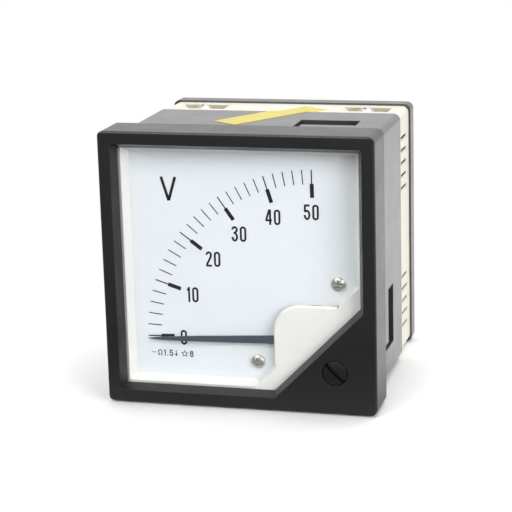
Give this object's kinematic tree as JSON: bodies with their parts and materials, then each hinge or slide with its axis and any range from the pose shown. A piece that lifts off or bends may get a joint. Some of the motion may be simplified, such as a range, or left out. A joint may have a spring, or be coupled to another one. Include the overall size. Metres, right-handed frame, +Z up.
{
  "type": "analog panel meter",
  "caption": "Square moving-coil panel meter with a quarter-circle dial, a lance pointer over a hooded movement, a zero adjuster and rear stud terminals.",
  "frame": {"origin": "middle of the panel's front plane, where the bezel's rear rim seats", "axes": "+Y back through the panel towards the terminals, +Z up, +X to the right as the dial is read"},
  "size_m": [0.08, 0.0821, 0.08],
  "materials": {
    "black_plastic": "satin",
    "dark_plastic": "satin",
    "pane": "clear",
    "white_plastic": "satin",
    "cream_plastic": "satin",
    "dial_paint": "matte",
    "pointer_paint": "painted, satin",
    "nickel": "plated",
    "steel": "plain",
    "magnet": "ground",
    "frame_metal": "die cast",
    "brass": "turned",
    "bronze": "spring",
    "copper": "enamelled wire",
    "aluminium": "plain",
    "yellow_paper": "coated",
    "board": "laminate",
    "resistor": "lacquered",
    "red_insulation": "satin",
    "black_insulation": "satin"
  },
  "bodies": {
    "housing": {"front_bezel": "black_plastic", "window_pane": "pane", "dial_surround": "white_plastic", "dial_plate": "dial_paint", "dial_screws": "nickel", "case_body": "black_plastic", "rear_base": "cream_plastic", "base_screws": "nickel", "back_plate": "dark_plastic", "back_plate_screws": "nickel", "seal_label": "yellow_paper", "movement_frame": "frame_metal", "frame_screws": "nickel", "yoke_ring": "steel", "core_magnet": "magnet", "core_spacers": "frame_metal", "front_bridge": "brass", "rear_bridge": "brass", "bridge_pillars": "brass", "bridge_screws": "nickel", "front_jewel_screw": "brass", "rear_jewel_screw": "brass", "jewel_nuts": "brass", "spring_anchor": "brass", "rear_hairspring": "bronze", "terminal_studs": "brass", "terminal_nuts": "brass", "terminal_washers": "brass", "solder_lugs": "nickel", "resistor_board": "board", "series_resistors": "resistor", "positive_lead": "red_insulation", "negative_lead": "black_insulation"},
    "pointer_movement": {"pointer": "pointer_paint", "pointer_hub": "aluminium", "balance_weights": "brass", "coil_former": "aluminium", "coil_winding": "copper", "coil_pivots": "steel"},
    "adjuster": {"zero_adjuster": "black_plastic", "adjuster_retainer": "steel"},
    "lever": {"zero_lever": "brass", "front_hairspring": "bronze"}
  },
  "joints": [
    {"name": "pointer_swing", "type": "hinge", "parent": "housing", "child": "pointer_movement", "pos_m": [0.0211, -0.005, -0.0201], "axis": [0, 1, 0], "range_deg": [-1, 93.5], "stiffness_Nm_per_rad": 0.0001, "deforming": ["rear_hairspring", "front_hairspring"]},
    {"name": "zero_adjuster_turn", "type": "hinge", "parent": "housing", "child": "adjuster", "pos_m": [0.0279, -0.0134, -0.0279], "axis": [0, 1, 0], "range_deg": [-45, 45]},
    {"name": "zero_lever_turn", "type": "hinge", "parent": "housing", "child": "lever", "pos_m": [0.0211, -0.006, -0.0201], "axis": [0, 1, 0], "range_deg": [-7.5, 7.5]}
  ],
  "couplings": [
    {"joint": "zero_lever_turn", "follows": "zero_adjuster_turn", "ratio": -0.16}
  ]
}
